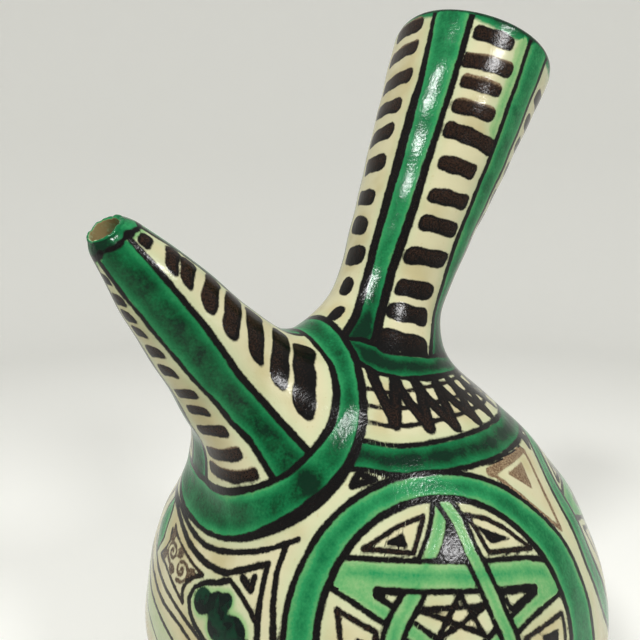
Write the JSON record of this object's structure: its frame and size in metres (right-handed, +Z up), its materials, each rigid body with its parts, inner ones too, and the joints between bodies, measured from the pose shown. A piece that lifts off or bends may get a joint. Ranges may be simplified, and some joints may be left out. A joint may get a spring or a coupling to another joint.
{
  "type": "spouted water jug",
  "caption": "Globe-shaped glazed clay water jug with a leaning flared neck to fill it and a tapered spout to pour from, painted in green and dark brown.",
  "frame": {"origin": "centre of the foot's flat resting face", "axes": "+Z up through the body's axis, the spout points to -X and the neck leans to +X, and the plane Y = 0 halves the jug"},
  "size_m": [0.1897, 0.176, 0.2991],
  "materials": {
    "painted_glaze": "glossy cream glaze with green and dark brown painting",
    "green_glaze": "glossy green glaze",
    "bare_clay": "matt fired clay"
  },
  "bodies": {
    "root": {"lower_body": "painted_glaze", "upper_body": "painted_glaze", "foot": "bare_clay", "neck": "painted_glaze", "neck_collar": "green_glaze", "spout": "painted_glaze", "spout_collar": "green_glaze"}
  },
  "joints": []
}
